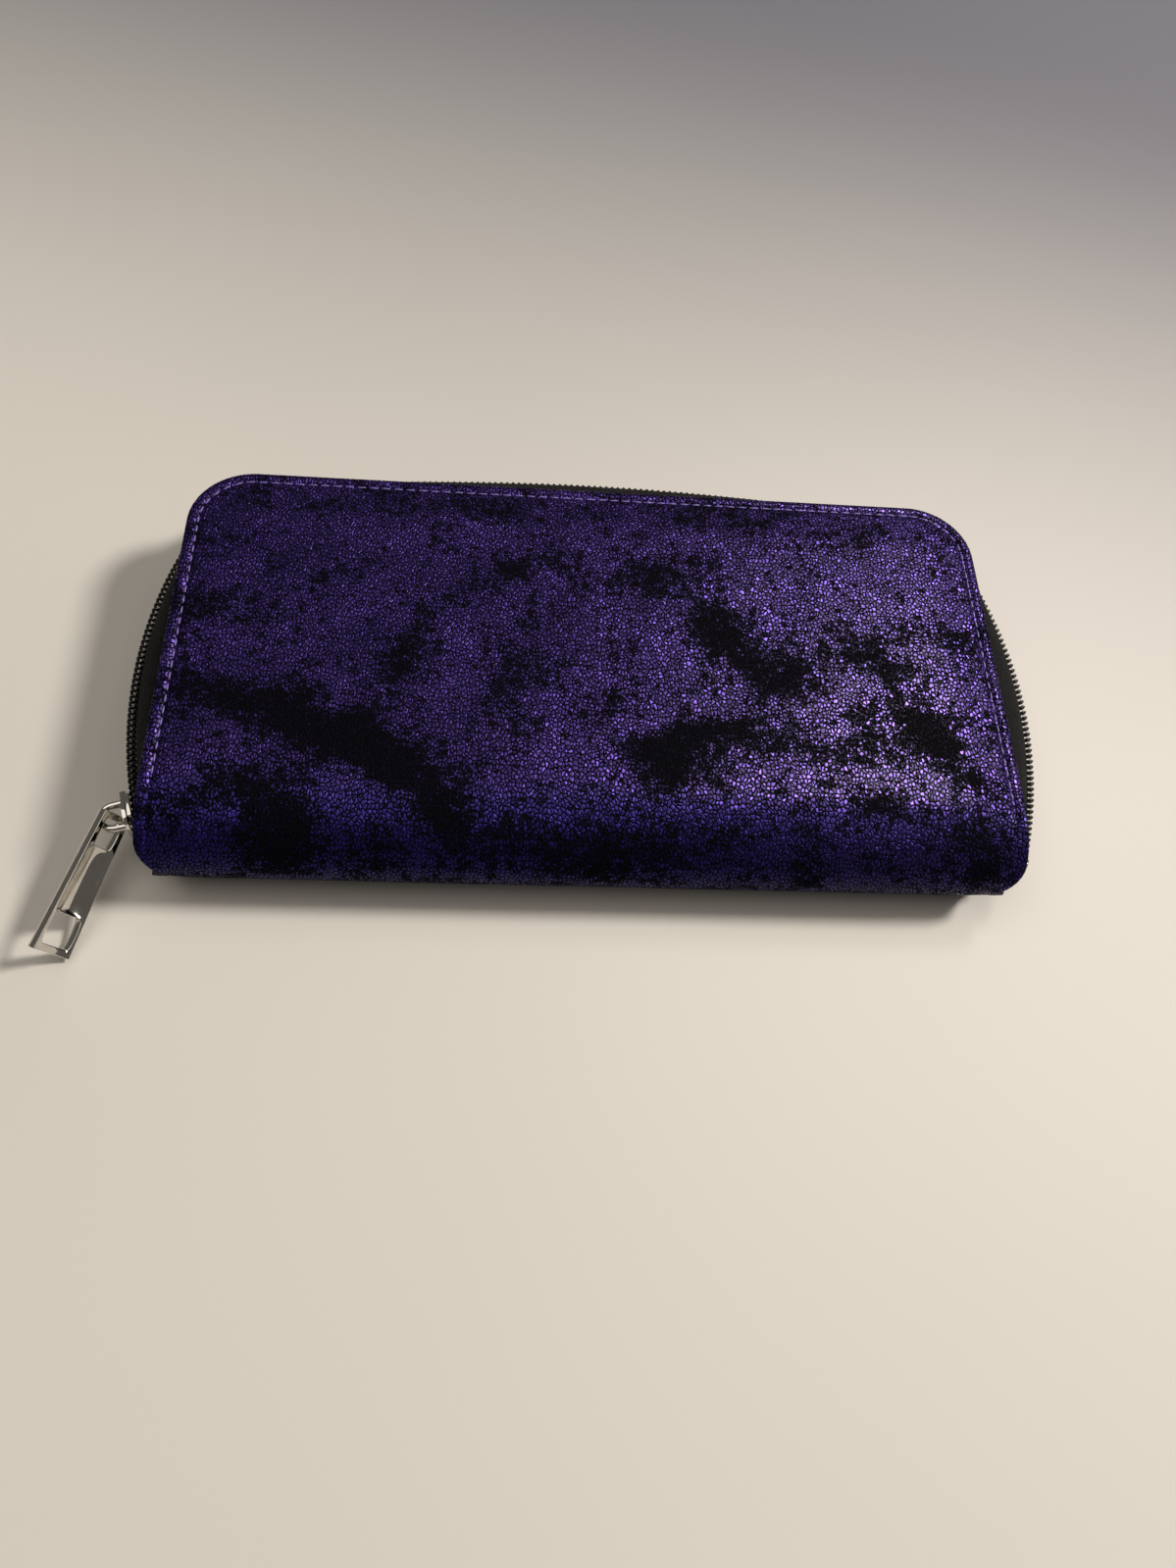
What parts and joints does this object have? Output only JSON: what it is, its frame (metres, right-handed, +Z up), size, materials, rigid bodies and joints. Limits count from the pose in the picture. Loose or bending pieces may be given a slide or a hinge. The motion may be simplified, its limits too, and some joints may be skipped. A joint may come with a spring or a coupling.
{
  "type": "zip around wallet",
  "caption": "Long zip-around wallet with two covers on a rounded spine, card rows, a zipped coin pocket divider, side gussets and a chrome slider with a hanging pull tab.",
  "frame": {"origin": "centre of the lower cover's flat outer face, which the wallet rests on", "axes": "+X along the wallet's length, +Y from the spine towards the long zip side, +Z up through the closed wallet"},
  "size_m": [0.2206, 0.1266, 0.024],
  "materials": {
    "foil_leather": "crackled metallic purple foil over black",
    "panel_leather": "smooth black",
    "lining_cloth": "black twill",
    "fibre_board": "pressed fibre board",
    "zip_tape": "black herringbone tape",
    "nylon_coil": "black nylon",
    "chrome_metal": "bright plated zinc"
  },
  "bodies": {
    "base": {"bottom_cover": "foil_leather", "bottom_board": "fibre_board", "bottom_lining": "lining_cloth", "bottom_card_row_1": "panel_leather", "bottom_card_row_2": "panel_leather", "bottom_card_row_3": "panel_leather", "bottom_card_row_4": "panel_leather", "lower_zip_tape": "zip_tape", "lower_zip_coil": "nylon_coil", "lower_zip_stop_left": "chrome_metal", "lower_zip_stop_right": "chrome_metal", "gusset_left": "lining_cloth", "gusset_right": "lining_cloth"},
    "lid": {"top_cover": "foil_leather", "top_board": "fibre_board", "top_lining": "lining_cloth", "top_card_row_1": "panel_leather", "top_card_row_2": "panel_leather", "top_card_row_3": "panel_leather", "top_card_row_4": "panel_leather", "upper_zip_tape": "zip_tape", "upper_zip_coil": "nylon_coil", "upper_zip_stop_left": "chrome_metal", "upper_zip_stop_right": "chrome_metal"},
    "divider": {"coin_pocket_lower_panel": "lining_cloth", "coin_pocket_upper_panel": "lining_cloth", "coin_zip_lower_tape": "zip_tape", "coin_zip_upper_tape": "zip_tape", "coin_zip_lower_coil": "nylon_coil", "coin_zip_upper_coil": "nylon_coil", "coin_zip_stop_left": "chrome_metal", "coin_zip_stop_right": "chrome_metal"},
    "slider": {"slider_body": "chrome_metal", "slider_bail": "chrome_metal"},
    "pull": {"pull_tab": "chrome_metal"},
    "coin_slider": {"coin_slider_body": "chrome_metal", "coin_slider_bail": "chrome_metal"},
    "coin_pull": {"coin_pull_tab": "chrome_metal"}
  },
  "joints": [
    {"name": "lid_open", "type": "hinge", "parent": "base", "child": "lid", "pos_m": [0, -0.05, 0.012], "axis": [1, 0, 0], "range_deg": [0, 60], "deforming": ["gusset_left", "gusset_right"]},
    {"name": "divider_swing", "type": "hinge", "parent": "base", "child": "divider", "pos_m": [0, -0.05, 0.012], "axis": [1, 0, 0], "range_deg": [0, 30]},
    {"name": "slider_travel", "type": "hinge", "parent": "base", "child": "slider", "pos_m": [0.0127, -0.002, 0.012], "axis": [0, 0, -1], "range_deg": [0, 34]},
    {"name": "pull_swing", "type": "hinge", "parent": "slider", "child": "pull", "pos_m": [-0.10206, -0.0374, 0.012], "axis": [0, 0, -1], "range_deg": [-10, 120]},
    {"name": "coin_slider_travel", "type": "slide", "parent": "divider", "child": "coin_slider", "axis": [1, 0, 0], "range_m": [0, 0.14]},
    {"name": "coin_pull_swing", "type": "hinge", "parent": "coin_slider", "child": "coin_pull", "pos_m": [-0.074, 0.0421, 0.012], "axis": [0, 0, 1], "range_deg": [0, 30]}
  ],
  "couplings": [
    {"joint": "divider_swing", "follows": "lid_open", "ratio": 0.5}
  ]
}
